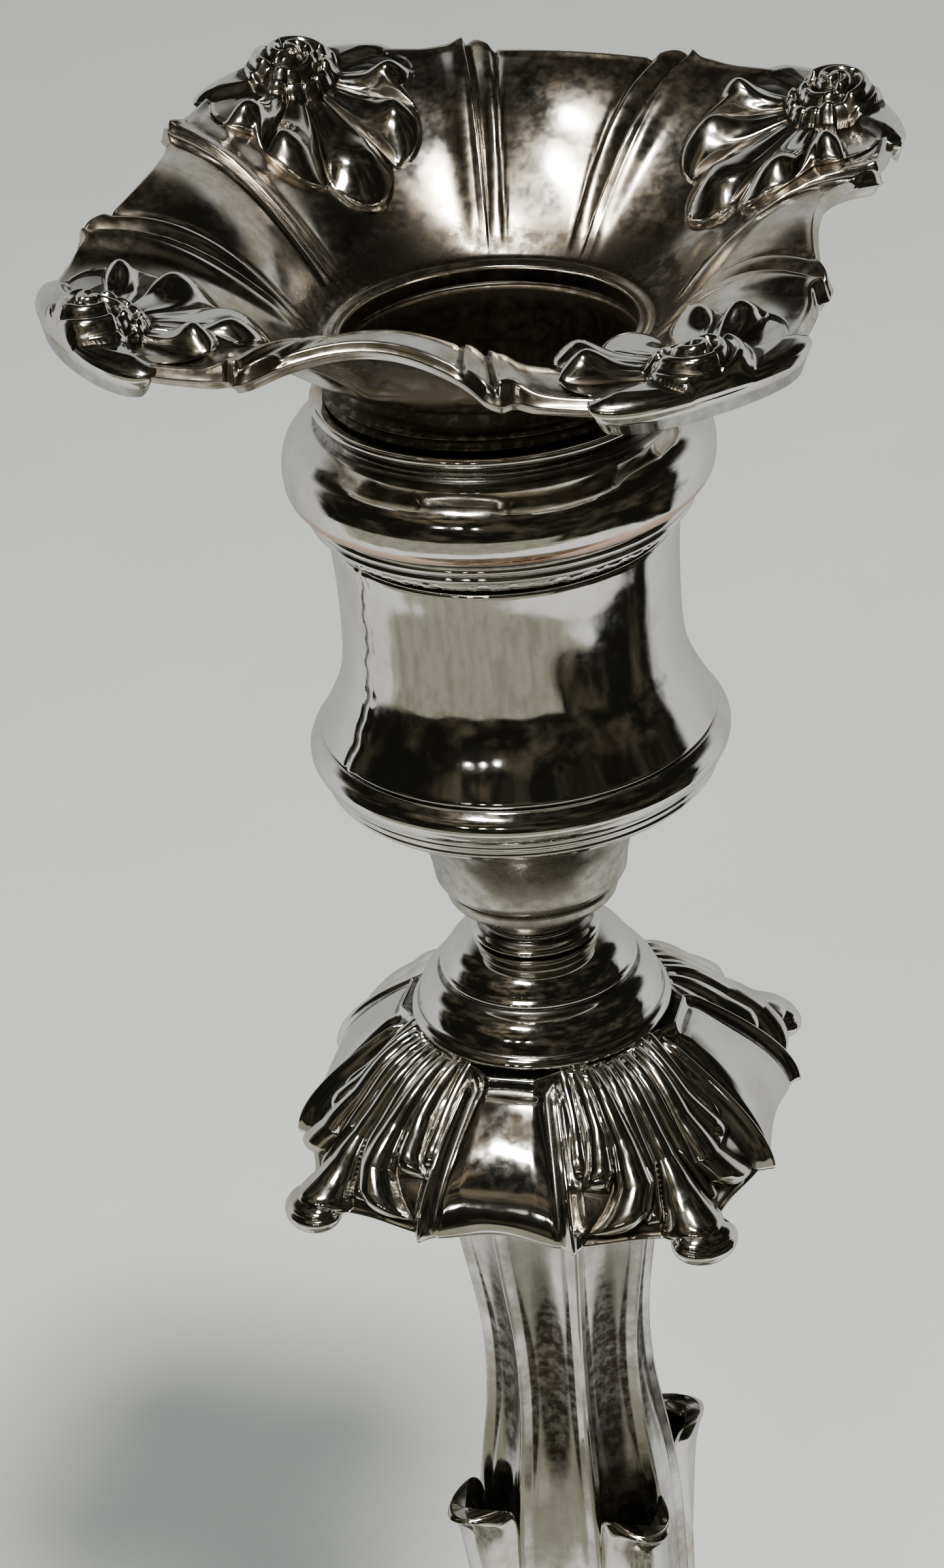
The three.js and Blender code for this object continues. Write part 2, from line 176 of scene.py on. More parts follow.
WAVES = np.random.default_rng(7).normal(size=(9, 3))
PHASES = np.random.default_rng(8).uniform(0, 2 * math.pi, 9)


def unevenness(points, wavelength):
    """Sum of nine sine waves in fixed seeded directions, roughly between -1 and 1."""
    turns = points @ (WAVES.T * (2 * math.pi / wavelength / 1.7)) + PHASES
    return np.sin(turns).sum(-1) / 4


def outline(corners, step=0.25, soften=1.0):
    """Closed section through (radius, height) corners; a third number bows the stretch that ends
    there by so many millimetres to its left. The loop is resampled evenly, then each point is
    averaged with its neighbours, so that every edge is a little worn."""
    track = []
    for first, last in zip(corners[-1:] + corners[:-1], corners):
        start, end = np.array(first[:2]), np.array(last[:2])
        bow = last[2] if len(last) > 2 else 0
        share = np.linspace(0, 1, 25)[1:, None]
        left = np.array([-(end - start)[1], (end - start)[0]]) / np.linalg.norm(end - start)
        track.append(start + (end - start) * share + left * bow * 4 * share * (1 - share))
    track = np.vstack(track)
    closed = np.vstack([track, track[:1]])
    length = np.concatenate([[0], np.cumsum(np.linalg.norm(np.diff(closed, axis=0), axis=1))])
    count = int(length[-1] / step)
    at = np.arange(count) * length[-1] / count
    even = np.stack([np.interp(at, length, closed[:, axis]) for axis in (0, 1)], -1)
    near = np.roll(even, 1, 0) + np.roll(even, -1, 0)
    return even + (near / 2 - even) * 0.5 * soften


def eased(points, passes=40):
    """A smooth line near a few points: straight stretches, with each point averaged with its
    neighbours many times while both ends stay."""
    points = np.array(points, float)
    length = np.concatenate([[0], np.cumsum(np.linalg.norm(np.diff(points, axis=0), axis=1))])
    at = np.linspace(0, length[-1], 120)
    path = np.stack([np.interp(at, length, points[:, k]) for k in (0, 1)], -1)
    for _ in range(passes):
        path[1:-1] = (path[:-2] + 2 * path[1:-1] + path[2:]) / 4
    return [tuple(point) for point in path]


# ------------------------------------------------------------------ surfaces

def softened(grid, passes, wrap_rows):
    """The grid with each point averaged with its neighbours along both directions, many times."""
    for _ in range(passes):
        grid = (np.roll(grid, 1, 1) + 2 * grid + np.roll(grid, -1, 1)) / 4
        if wrap_rows:
            before, after = np.roll(grid, 1, 0), np.roll(grid, -1, 0)
        else:
            before = np.concatenate([grid[:1], grid[:-1]])
            after = np.concatenate([grid[1:], grid[-1:]])
        grid = (before + 2 * grid + after) / 4
    return grid


def grid_normals(grid, wrap_rows):
    """Unit normals: the cross product of the two grid directions' central differences."""
    along = np.roll(grid, -1, 1) - np.roll(grid, 1, 1)
    if wrap_rows:
        across = np.roll(grid, -1, 0) - np.roll(grid, 1, 0)
    else:
        across = np.gradient(grid, axis=0)
    normal = np.cross(along, across)
    return normal / np.maximum(np.linalg.norm(normal, axis=-1, keepdims=True), 1e-9)


def grid_faces(rows, columns, wrap_rows):
    """Corner numbers of the quads; columns always close on themselves."""
    index = np.arange(rows * columns).reshape(rows, columns)
    right = np.roll(index, -1, 1)
    if wrap_rows:
        corners = (index, right, np.roll(right, -1, 0), np.roll(index, -1, 0))
    else:
        corners = (index[:-1], right[:-1], right[1:], index[1:])
    return np.stack([corner.ravel() for corner in corners], -1)


def enclosed(points, triangles):
    """Six times the volume inside a closed set of triangles."""
    a, b, c = (points[triangles[:, k]] for k in range(3))
    return np.einsum("ij,ij->", a, np.cross(b, c))


def build(
    name, body, material, grid, rings=True, worn=0.0, dent=0.035, replaces=(),
):
    """One closed piece from a grid of points whose columns close on themselves. Its rows close too
    (rings), or each end row is closed by a fan to its middle. A slow unevenness is added along the
    normals. Two attributes are kept for the finish: hollow, how far a point lies below the average
    of its surroundings, and worn, where the plate has gone."""
    rows, columns = grid.shape[:2]
    quads = grid_faces(rows, columns, rings)
    points = grid.reshape(-1, 3)
    fans = np.zeros((0, 3), int)
    if not rings:
        start = rows * columns
        first = np.arange(columns)
        last = first + (rows - 1) * columns
        fans = np.vstack([
            np.stack([np.roll(first, -1), first, np.full(columns, start)], -1),
            np.stack([last, np.roll(last, -1), np.full(columns, start + 1)], -1),
        ])
        points = np.vstack([points, grid[0].mean(0), grid[-1].mean(0)])
    triangles = np.vstack([quads[:, :3], quads[:, [0, 2, 3]], fans])
    outward = 1.0 if enclosed(points, triangles) > 0 else -1.0
    if outward < 0:
        quads = quads[:, ::-1]
        fans = fans[:, ::-1]

    normal = grid_normals(grid, rings) * outward
    check = grid_faces(rows, columns, rings)
    side_a = points[check[:, 1]] - points[check[:, 0]]
    side_b = points[check[:, 3]] - points[check[:, 0]]
    face_normal = np.cross(side_a, side_b) * outward
    if np.einsum("ij,ij->", face_normal, normal.reshape(-1, 3)[check[:, 0]]) < 0:
        normal = -normal
    fine = np.einsum("ijk,ijk->ij", softened(grid, 10, rings) - grid, normal)
    broad = np.einsum("ijk,ijk->ij", softened(grid, 60, rings) - grid, normal)
    hollow = np.clip(0.5 + fine / 0.16 + broad / 0.7, 0, 1).ravel()
    moved = grid + normal * (dent * unevenness(grid, 14.0) + 0.3 * dent * unevenness(grid, 4.5))[..., None]
    points[:rows * columns] = moved.reshape(-1, 3)
    spare = len(points) - rows * columns
    hollow = np.concatenate([hollow, np.full(spare, 0.5)])
    worn = np.broadcast_to(worn, (rows, columns)).ravel()
    worn = np.concatenate([worn, np.zeros(spare)])

    mesh = bpy.data.meshes.new(name)
    mesh.vertices.add(len(points))
    mesh.vertices.foreach_set("co", (points * MM).astype(np.float32).ravel())
    corners = np.concatenate([quads.ravel(), fans.ravel()]).astype(np.int32)
    sizes = np.concatenate([np.full(len(quads), 4), np.full(len(fans), 3)]).astype(np.int32)
    mesh.loops.add(len(corners))
    mesh.loops.foreach_set("vertex_index", corners)
    mesh.polygons.add(len(sizes))
    starts = np.concatenate([[0], np.cumsum(sizes)[:-1]]).astype(np.int32)
    mesh.polygons.foreach_set("loop_start", starts)
    mesh.polygons.foreach_set("loop_total", sizes)
    mesh.polygons.foreach_set("use_smooth", np.ones(len(sizes), bool))
    for label, values in (("hollow", hollow), ("worn", worn)):
        attribute = mesh.attributes.new(label, "FLOAT", "POINT")
        attribute.data.foreach_set("value", values.astype(np.float32))
    mesh.update()
    mesh.validate()
    mesh.materials.append(material)
    piece = bpy.data.objects.new(name, mesh)
    bpy.context.scene.collection.objects.link(piece)
    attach(piece, body)
    if replaces:
        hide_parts(*replaces)


def shell(name, body, grid, replaces=(), dent=0.02):
    """A chased piece that rides on a body, closed at both end rows."""
    build(name, body, SHELL_SILVER, grid, rings=False, dent=dent, replaces=replaces)


def turned(section, azimuth, base=0.0, shape=None):
    """Grid of a turned piece: each section point carried round the axis. shape(azimuth, radius,
    height) may give every point a new radius and height."""
    radius, height = section[:, :1], section[:, 1:] + base
    azimuth = azimuth[None, :]
    if shape is None:
        return polar(azimuth, radius, height)
    return polar(azimuth, *shape(azimuth, radius, height))


# ------------------------------------------------------------------ finishes

def node_material(name):
    """A new material with its node tree and its shader."""
    material = bpy.data.materials.new(name)
    material.use_nodes = True
    tree = material.node_tree
    return material, tree, tree.nodes["Principled BSDF"]


def wire(tree, kind, inputs=(), **settings):
    """A new node with its settings and inputs; an input is a value or another node's socket."""
    node = tree.nodes.new(kind)
    for key, value in settings.items():
        setattr(node, key, value)
    for key, value in dict(inputs).items():
        if isinstance(value, bpy.types.NodeSocket):
            tree.links.new(value, node.inputs[key])
        else:
            node.inputs[key].default_value = value
    return node


def calc(tree, operation, first, second=0.0, clamp=False):
    """A sum, product or other operation on two values."""
    node = wire(tree, "ShaderNodeMath", {0: first, 1: second}, operation=operation, use_clamp=clamp)
    return node.outputs[0]


def between(tree, value, low, high, to_low=0.0, to_high=1.0):
    """A value eased from one range to another."""
    inputs = {
        "Value": value, "From Min": low, "From Max": high, "To Min": to_low, "To Max": to_high,
    }
    node = wire(tree, "ShaderNodeMapRange", inputs, interpolation_type="SMOOTHSTEP")
    return node.outputs["Result"]


def noise(tree, place, scale, detail=3.0, roughness=0.55):
    """Fractal noise at a place."""
    inputs = {"Vector": place, "Scale": scale, "Detail": detail, "Roughness": roughness}
    return wire(tree, "ShaderNodeTexNoise", inputs).outputs["Fac"]


def mixed(tree, factor, first, second):
    """A colour between two."""
    node = wire(tree, "ShaderNodeMix", {}, data_type="RGBA")
    for key, value in ((0, factor), (6, first), (7, second)):
        if isinstance(value, bpy.types.NodeSocket):
            tree.links.new(value, node.inputs[key])
        else:
            node.inputs[key].default_value = value
    return node.outputs[2]


OLIVE_TINT = (0.46, 0.37, 0.20, 1)
GOLD_TINT = (0.34, 0.24, 0.095, 1)
GREY_TINT = (0.30, 0.27, 0.20, 1)
SHADE_TINT = (0.10, 0.085, 0.06, 1)


def silver(name, tarnish=1.0, copper=0.0, shine=0.07, patches=0.0, haze=0.25, tint=OLIVE_TINT):
    """Polished silver plate. Slow patches carry the tint: tarnish, and in the darkest finishes painted
    shade as well. Hollows are nearly black.
    Copper shows where the worn attribute and a slow noise say so. Hair scratches and slow waves
    are bump."""
    material, tree, shader = node_material(name)
    place = wire(tree, "ShaderNodeTexCoord").outputs["Object"]
    hollow = wire(tree, "ShaderNodeAttribute", attribute_name="hollow").outputs["Fac"]
    worn = wire(tree, "ShaderNodeAttribute", attribute_name="worn").outputs["Fac"]

    def add(first, second):
        return calc(tree, "ADD", first, second)

    def times(first, second, clamp=False):
        return calc(tree, "MULTIPLY", first, second, clamp)

    cloud = noise(tree, place, 130, 4, 0.6)
    speck = noise(tree, place, 1100, 3, 0.6)
    grain = between(tree, speck, 0.2, 0.75, 0.75 * tarnish, 1.2 * tarnish)
    deep = times(between(tree, hollow, 0.54, 0.86), grain, clamp=True)
    patch = between(tree, add(cloud, patches), 0.48, 0.78)
    patch = times(times(patch, 0.40 + patches), grain, clamp=True)
    bare = between(tree, add(worn, times(add(cloud, -0.5), 0.9)), 0.35, 0.75)
    bare = times(bare, copper + 0.35, clamp=True)

    brightness = between(tree, cloud, 0.35, 0.7)
    clean = mixed(tree, brightness, (0.93, 0.915, 0.88, 1), (0.84, 0.82, 0.775, 1))
    tinted = mixed(tree, patch, clean, tint)
    dark = mixed(tree, deep, tinted, (0.07, 0.06, 0.045, 1))
    colour = mixed(tree, bare, dark, (0.72, 0.46, 0.31, 1))
    tree.links.new(colour, shader.inputs["Base Color"])
    dulled = times(calc(tree, "MAXIMUM", patch, deep), haze)
    rough = add(between(tree, speck, 0.25, 0.8, shine * 0.6, shine * 1.5), dulled)
    tree.links.new(rough, shader.inputs["Roughness"])
    shader.inputs["Metallic"].default_value = 1.0

    drawn = {"Vector": place, "Rotation": (0.5, 0.3, 0.9), "Scale": (1.0, 9.0, 2.0)}
    scratch = noise(tree, wire(tree, "ShaderNodeMapping", drawn).outputs["Vector"], 900, 2, 0.5)
    wave = noise(tree, place, 210, 2, 0.5)
    height = add(times(scratch, 0.02), wave)
    relief = wire(tree, "ShaderNodeBump", {"Height": height, "Strength": 0.35, "Distance": 0.00006})
    tree.links.new(relief.outputs["Normal"], shader.inputs["Normal"])
    return material


def dull_iron():
    """Dull iron: brown-grey with rust in a slow noise."""
    material, tree, shader = node_material("dull_iron")
    place = wire(tree, "ShaderNodeTexCoord").outputs["Object"]
    cloud = noise(tree, place, 400, 5, 0.65)
    colour = mixed(tree, between(tree, cloud, 0.4, 0.65), (0.16, 0.15, 0.14, 1), (0.24, 0.11, 0.05, 1))
    tree.links.new(colour, shader.inputs["Base Color"])
    tree.links.new(between(tree, cloud, 0.3, 0.7, 0.45, 0.85), shader.inputs["Roughness"])
    shader.inputs["Metallic"].default_value = 0.8
    return material


def black_pitch():
    """Pitch: nearly black, lumpy, with a faint gloss."""
    material, tree, shader = node_material("black_pitch")
    place = wire(tree, "ShaderNodeTexCoord").outputs["Object"]
    lumps = noise(tree, place, 300, 4, 0.6)
    colour = mixed(tree, lumps, (0.010, 0.008, 0.006, 1), (0.035, 0.028, 0.02, 1))
    tree.links.new(colour, shader.inputs["Base Color"])
    tree.links.new(between(tree, lumps, 0.3, 0.7, 0.4, 0.8), shader.inputs["Roughness"])
    relief = wire(tree, "ShaderNodeBump", {"Height": lumps, "Strength": 0.6, "Distance": 0.0004})
    tree.links.new(relief.outputs["Normal"], shader.inputs["Normal"])
    return material


def green_baize():
    """Baize: green wool with a fine felted nap and slow wear."""
    material, tree, shader = node_material("green_baize")
    place = wire(tree, "ShaderNodeTexCoord").outputs["Object"]
    nap = noise(tree, place, 2600, 4, 0.7)
    wear = noise(tree, place, 60, 3, 0.5)
    base = mixed(tree, nap, (0.012, 0.045, 0.020, 1), (0.035, 0.115, 0.055, 1))
    colour = mixed(tree, between(tree, wear, 0.5, 0.75, 0, 0.5), base, (0.10, 0.12, 0.06, 1))
    tree.links.new(colour, shader.inputs["Base Color"])
    tree.links.new(between(tree, nap, 0.2, 0.8, 0.85, 1.0), shader.inputs["Roughness"])
    shader.inputs["Sheen Weight"].default_value = 0.4
    relief = wire(tree, "ShaderNodeBump", {"Height": nap, "Strength": 0.9, "Distance": 0.0003})
    tree.links.new(relief.outputs["Normal"], shader.inputs["Normal"])
    return material


SILVER = silver("worn_silver", tarnish=0.8)
PAN_SILVER = silver("dish_silver", tarnish=0.9, patches=0.20, shine=0.08, haze=0.26, tint=GOLD_TINT)
SHELL_SILVER = silver("chased_silver", tarnish=1.1, patches=0.05, shine=0.08)
RIM_SILVER = silver("bleeding_silver", tarnish=0.7, copper=0.5)
STEM_SILVER = silver("stem_silver", tarnish=0.9, patches=0.16, haze=0.35, tint=GREY_TINT)
# Darker mottled silver for the bowl under the girdle: partly tarnish, partly painted shade
BOWL_SILVER = silver("tarnished_and_shaded_silver", tarnish=1.0, patches=0.3, shine=0.10, tint=GREY_TINT)
# Nearly black silver, a painted shade: it darkens the tube and cup in the shadowed gap under the pan, and
# the base cover
PAINTED_SHADE_SILVER = silver("painted_shade_silver", patches=0.6, shine=0.22, tint=SHADE_TINT)
IRON = dull_iron()
PITCH = black_pitch()
BAIZE = green_baize()


# ------------------------------------------------------------------ nozzle

def pan_rise(azimuth, share):
    """Height of the dish: level, then steep, then flaring to a lip that dips at the ribs."""
    left = np.clip(1 - share, 0, 1)
    return edge_radius(PAN_HEIGHT, azimuth) * (1 - left ** 2.4) ** 1.35


def pan_lip(azimuth):
    """The lip's radius: each rib's band ends in a small ear, with a notch between ear and corner."""
    aside = PAN_LIP["rib"] * np.sin(np.abs(from_panel(azimuth)) - PAN_LIP["rib_angle"])
    return edge_radius(PAN_LIP, azimuth) + 0.7 * bump(aside + 1.1, 1.1) - 0.4 * bump(aside - 1.0, 0.8)


def pan_relief(azimuth, share):
    """A rib beside each plain panel: a sharp crest that eases down to the corner and drops to a
    round band, which a fine groove parts from the panel. Panels and corners are hollow."""
    angle = np.abs(from_panel(azimuth))
    rib = (16.5 + 2.5 * share) * DEGREE
    radius = PAN_START_R + PAN_BREADTH * share
    aside = radius * np.sin(angle - rib) / (0.5 + 0.5 * share)
    shown = ease(0.02, 0.2, share) * (0.55 + 0.45 * share)
    crest = 1.05 * np.where(aside > 0, bump(aside, 1.9), bump(aside, 0.26))
    band = 0.55 * dome((aside + 1.45) / 1.1)
    groove = -0.28 * bump(aside + 2.75, 0.24)
    within = np.clip(1 - (angle / rib) ** 2, 0, 1)
    beyond = np.clip(1 - ((DIAGONAL - angle) / (DIAGONAL - rib)) ** 2, 0, 1)
    belly = np.sin(np.clip(share, 0, 1) * math.pi) ** 0.7
    sunk = belly * np.where(angle < rib, 0.35 * within, 0.5 * beyond)
    return shown * (crest + band + groove) - sunk


def dished(azimuth, radius, height, top):
    """A flat disc's point lifted onto the pan; top is 1 where the relief shows."""
    share = np.clip((radius - PAN_START_R) / (PAN_NOMINAL_R - PAN_START_R), 0, 1.04)
    spread = np.where(share > 0, PAN_START_R + (pan_lip(azimuth) - PAN_START_R) * share, radius)
    return spread, height + pan_rise(azimuth, share) + top * pan_relief(azimuth, share)


def nozzle_pan():
    """A section of the flat disc, bent up into the square dish all the way round, with a rolled
    lip."""
    lip_r = PAN_NOMINAL_R
    section = outline([
        (CANDLE_R, -1.9), (CANDLE_R, -0.1), (12.5, -0.05, -0.42), (PAN_START_R, -0.3), (lip_r - 1, -0.2),
        (lip_r - 0.3, 0.1), (lip_r + 0.35, -0.75, -0.28), (lip_r - 0.5, -1.75, -0.3),
        (lip_r - 1.6, -1.45), (22, -1.7), (16, -2.0), (12.6, -1.9),
    ], 0.33)
    shown = (section[:, 1:] > -0.6) & (section[:, :1] > PAN_START_R)
    azimuth = crowded(NOZZLE_STEPS, PAN_LIP["rib_angle"])[None, :]
    radius, height = dished(azimuth, section[:, :1], section[:, 1:], shown)
    grid = set_askew(radius * np.cos(azimuth), radius * np.sin(azimuth), height)
    build("nozzle_drip_pan", "nozzle", PAN_SILVER, grid, replaces=["nozzle_pan"])


def on_corner(corner, away, side):
    """x and y of a point at a distance out along a corner's diagonal and a distance beside it."""
    turn = DIAGONAL + corner * QUARTER
    x = away * math.cos(turn) - side * math.sin(turn)
    return x, away * math.sin(turn) + side * math.cos(turn)


def set_askew(x, y, z):
    """A nozzle point turned a little about the candle and leaned, more and more towards the lip."""
    cos, sin = math.cos(NOZZLE_TURN), math.sin(NOZZLE_TURN)
    x, y = x * cos - y * sin, x * sin + y * cos
    lean = np.clip((np.hypot(x, y) - PAN_START_R) / PAN_BREADTH, 0, 1)
    tilt = lean * (NOZZLE_LEAN[0] * x + NOZZLE_LEAN[1] * y)
    return np.stack([x, y, HOLE_Z + z + tilt], -1)


def knot(inward, aside):
    """Relief of the rolled knot at a corner tip: a dome with a spiral groove cut into it."""
    knot_r, pitch = 3.9, 1.4
    x = inward + 0.6
    distance = np.hypot(x, aside)
    spiral = (distance - 0.42 * (np.arctan2(aside, x) + math.pi)) % pitch
    coil = np.minimum(spiral, pitch - spiral)
    groove = 0.42 * bump(coil, 0.32) * ease(0.2, 1.0, distance)
    return 2.1 * dome(distance / knot_r) * (1 - groove)


def nozzle_palmette(corner):
    """Five lobes fanning from the knot towards the candle. The shell is worked out round the knot:
    a share of the way out and an angle from the inward direction. A lobe is a cosine across, curls
    towards the middle, swells and ends in a plump bulb."""
    rows, under_rows = 72, 12
    out = np.concatenate([np.linspace(0, 1, rows), np.linspace(1, 0, under_rows)[1:]])[:, None]
    top = (np.arange(len(out)) < rows)[:, None]
    angle = circle(240)[None, :] - math.pi
    along = np.where(np.cos(angle) > 0, SHELL_REACH["inward"], SHELL_REACH["outward"])
    reach = 1 / np.sqrt((np.cos(angle) / along) ** 2 + (np.sin(angle) / SHELL_REACH["aside"]) ** 2)
    curl = 1 + 0.38 * (out - 0.4) * ease(0, 1.2, np.abs(angle)) + 0.10 * np.sin(out * 5)
    bent = angle * curl
    number = np.clip(np.round(bent / SHELL_SPREAD), -(SHELL_LOBES // 2), SHELL_LOBES // 2)
    fan = ease(98 * DEGREE, 84 * DEGREE, np.abs(angle))
    ends = bent[-1:] / SHELL_SPREAD
    scallop = np.abs(ends - np.round(ends)) * 2
    reach = reach * (1 - 0.13 * fan * scallop ** 2)
    inward = out * reach * np.cos(angle)
    aside = out * reach * np.sin(angle)

    across = np.clip((bent - number * SHELL_SPREAD) / (SHELL_SPREAD / 2), -1, 1)
    swell = 0.30 + 0.7 * out ** 1.4 + 1.05 * bump(out - 0.80, 0.17)
    nose = dome(np.clip((out - 0.80) / 0.20, 0, 1))
    ridge = swell * np.cos(across * QUARTER) ** 0.85 * ease(0.1, 0.3, out)
    line = 0.20 * bump(np.abs(across) - 0.8, 0.16) * ease(0.15, 0.4, out) * ease(0.85, 0.6, out)
    crease = -0.22 * bump(np.abs(across) - 1, 0.16) * ease(0.15, 0.4, out)
    edge = dome(np.clip((out - 0.84) / 0.16, 0, 1))
    relief = 0.05 + fan * (ridge + crease + line) * nose
    relief = relief + ((1 - fan) * 0.5 + knot(inward, aside)) * edge
    under = -0.5 - (1 - fan) * 1.5 * ease(0.35, 1.0, out)
    lift = np.where(top, relief, under)

    x, y = on_corner(corner, KNOT_R - inward, aside)
    azimuth, radius = np.arctan2(y, x), np.hypot(x, y)
    share = np.clip((radius - PAN_START_R) / (pan_lip(azimuth) - PAN_START_R), 0, 1.2)
    inside = np.minimum(share, 1)
    surface = pan_rise(azimuth, inside) + pan_relief(azimuth, inside) * 0.6 - 0.15
    droop = 6.0 * np.clip(share - 0.97, 0, 1)
    grid = set_askew(x, y, surface - droop + lift)
    shell(f"nozzle_palmette_{corner + 1}", "nozzle", grid, replaces=[f"nozzle_shell_{corner + 1}"])


def nozzle_tube():
    """Tube that drops into the socket, with a round bead that rests on the socket's rim."""
    section = outline([
        (CANDLE_R, -23), (11.95, -23), (11.95, -5.15), (13.3, -4.75), (13.3, -3.8, 0.45),
        (12.4, -3.4), (12.1, -1.98), (CANDLE_R, -1.98),
    ], 0.25, 0.3)
    grid = turned(section, circle(ROUND_STEPS), HOLE_Z)
    # Its nearly black finish is painted shade for the shadowed gap under the pan
    build("nozzle_tube", "nozzle", PAINTED_SHADE_SILVER, grid, replaces=["nozzle_sleeve"])


# ------------------------------------------------------------------ socket

def moulding(
    name, node, corners, step=0.25, material=SILVER, worn=None, shape=None, steps=ROUND_STEPS,
):
    """A turned ring of the socket. worn(height) says where the copper shows, and a ring that has
    some is worn plate."""
    section = outline(corners, step)
    grid = turned(section, circle(steps), HOLE_Z, shape)
    bare = 0.0 if worn is None else worn(section[:, 1:])
    build(name, "stick", material, grid, worn=bare, replaces=[node])


def socket_cup():
    """Thin cup that the nozzle's tube stands in."""
    section = outline([
        (0.4, -29.5), (12.25, -29.5), (12.25, -5.3), (12.6, -5.3), (12.6, -30), (0.4, -30),
    ], 0.5, 0.5)
    grid = turned(section, circle(120), HOLE_Z)
    # Its nearly black finish is painted shade inside the socket's mouth
    build("socket_cup", "liner", PAINTED_SHADE_SILVER, grid, replaces=["socket_liner"])


def soldered(azimuth, radius, height):
    """A rough bead of solder round the foot of the rim: a sum of sines of the azimuth."""
    drop = height - HOLE_Z
    lumps = sum(np.sin(count * azimuth + count) for count in (31, 47, 73, 109))
    outer = radius > 13.6
    return radius + outer * 0.05 * lumps * bump(drop + 15.9, 0.45), height + 0 * azimuth


def seamed(azimuth, radius, height):
    """A soldered seam: a crooked upright groove beside a low ridge."""
    drop = height - HOLE_Z
    line = (227 + 0.35 * (drop + 24)) * DEGREE + 0.012 * np.sin(drop * 1.3) + 0.008 * np.sin(drop * 3.1)
    aside = radius * np.sin(azimuth - line)
    outer = radius > 13.2
    ahead = np.cos(azimuth - line) > 0
    change = 0.10 * bump(aside - 0.55, 0.4) - 0.16 * bump(aside, 0.2)
    return radius + outer * ahead * change, height + 0 * azimuth


def rim_wear(height):
    """Copper under the rim's bulge, on its upper edge and on the thin ring below."""
    return bump(height + 12.4, 0.7) + 0.5 * bump(height + 5.1, 0.3) + 0.4 * bump(height + 14.6, 0.3)


def slight_wear(height):
    """A little copper, the same at every height."""
    return 0.2 + 0 * height


def socket_mouldings():
    """The socket from its rim down to the bell."""
    moulding("socket_rim_moulding", "socket_rim", [
        (12.95, -16.2), (12.95, -5.1), (14.2, -4.95), (14.3, -5.6, 0.15), (13.7, -6.3),
        (14.0, -7.1, -0.15), (16.95, -11.6, 1.15), (16.3, -12.85, 0.16), (15.35, -13.15),
        (15.25, -13.4, -0.15), (15.55, -14.0, 0.22), (15.15, -14.3), (15.1, -14.95, 0.25),
        (14.5, -15.2), (14.35, -15.75, 0.2), (13.9, -16.2),
    ], 0.16, RIM_SILVER, rim_wear, soldered, 360)
    wall = eased([
        (13.95, -16.45), (13.73, -19), (13.58, -22.5), (13.62, -26), (13.76, -28.3), (14.45, -30.8),
        (16.15, -34),
    ], 110)
    moulding("socket_wall", "socket_barrel", wall + [
        (15.4, -34), (13.6, -30.6, 0.2), (12.95, -26), (12.95, -16.45),
    ], 0.25, shape=seamed, steps=360)
    moulding("socket_girdle_bead", "socket_girdle", [
        (16.1, -34.2), (16.35, -34.45), (16.55, -37.0, 0.62), (16.2, -37.35), (16.2, -37.75, 0.14),
        (15.9, -38.1), (15.85, -38.6, 0.16), (15.2, -39.2), (14.3, -39.2), (14.9, -36.5), (15.2, -34.3),
    ], 0.14)
    # The bowl's darker finish is partly tarnish and partly painted shade
    moulding("socket_bowl_turned", "socket_bowl", [
        (ROD_HOLE_R, -49.4), (ROD_HOLE_R, -52.6), (5.2, -52.6), (5.5, -52.0, 0.1), (6.3, -51.1),
        (7.2, -50.4, -0.2), (7.35, -49.9, 0.14), (7.1, -49.6), (7.6, -49.2, 0.16), (8.0, -48.7),
        (14.55, -39.5, 1.75), (13.8, -39.5), (8, -47.2, -1.5), (ROD_HOLE_R, -47.4),
    ], 0.25, BOWL_SILVER)
    moulding("neck_ring_turned", "neck_ring", [
        (ROD_HOLE_R, -54.6), (ROD_HOLE_R, -52.9), (4.9, -52.9), (4.5, -53.35, -0.12), (4.7, -53.8),
        (5.3, -54.1), (5.3, -54.6, 0.18),
    ], 0.15, RIM_SILVER, slight_wear)
    moulding("bell", "bell_knop", [
        (5.3, -54.9), (8.0, -57.2, 0.5), (8.15, -57.9, 0.28), (8.35, -58.15), (10.3, -60.7, 0.42),
        (10.35, -61.1), (10.85, -61.5, 0.1), (10.85, -62.0, 0.16), (10.7, -62.3), (9.9, -62.3),
        (9.6, -60, -0.2), (7.9, -59), (7, -57.4), (4.6, -56), (ROD_HOLE_R, -55.8), (ROD_HOLE_R, -54.9),
    ], 0.18)


# ------------------------------------------------------------------ shoulder

def skirt(azimuth, share, outward):
    """Point of the skirt: a bent quarter turn from the eight-sided top to the panelled edge. Radius
    grows by a power of the sine, higher on panels than on corners, and each corner flares at its
    foot; outward is along the slope."""
    turn = share * QUARTER
    angle = np.abs(from_panel(azimuth))
    corner = ease(14 * DEGREE, 34 * DEGREE, angle)
    top = octagon_radius(SHOULDER_TOP, azimuth)
    edge = edge_radius(SHOULDER_EDGE, azimuth)
    flare = 2.0 * bump(DIAGONAL - angle, 9.5 * DEGREE) * ease(0.66, 1.0, share) ** 1.2
    radius = top + (edge - top) * np.sin(turn) ** (1.5 - 0.8 * corner) + flare
    arch = 0.7 * bump(from_panel(azimuth), 10 * DEGREE) * ease(0.6, 1.0, share)
    drop = SHOULDER_DROP * (1 - np.cos(turn)) ** (0.7 - 0.1 * corner) - arch
    return radius + outward * np.sin(turn) ** 0.7, SHOULDER_Z - drop + outward * np.cos(turn)


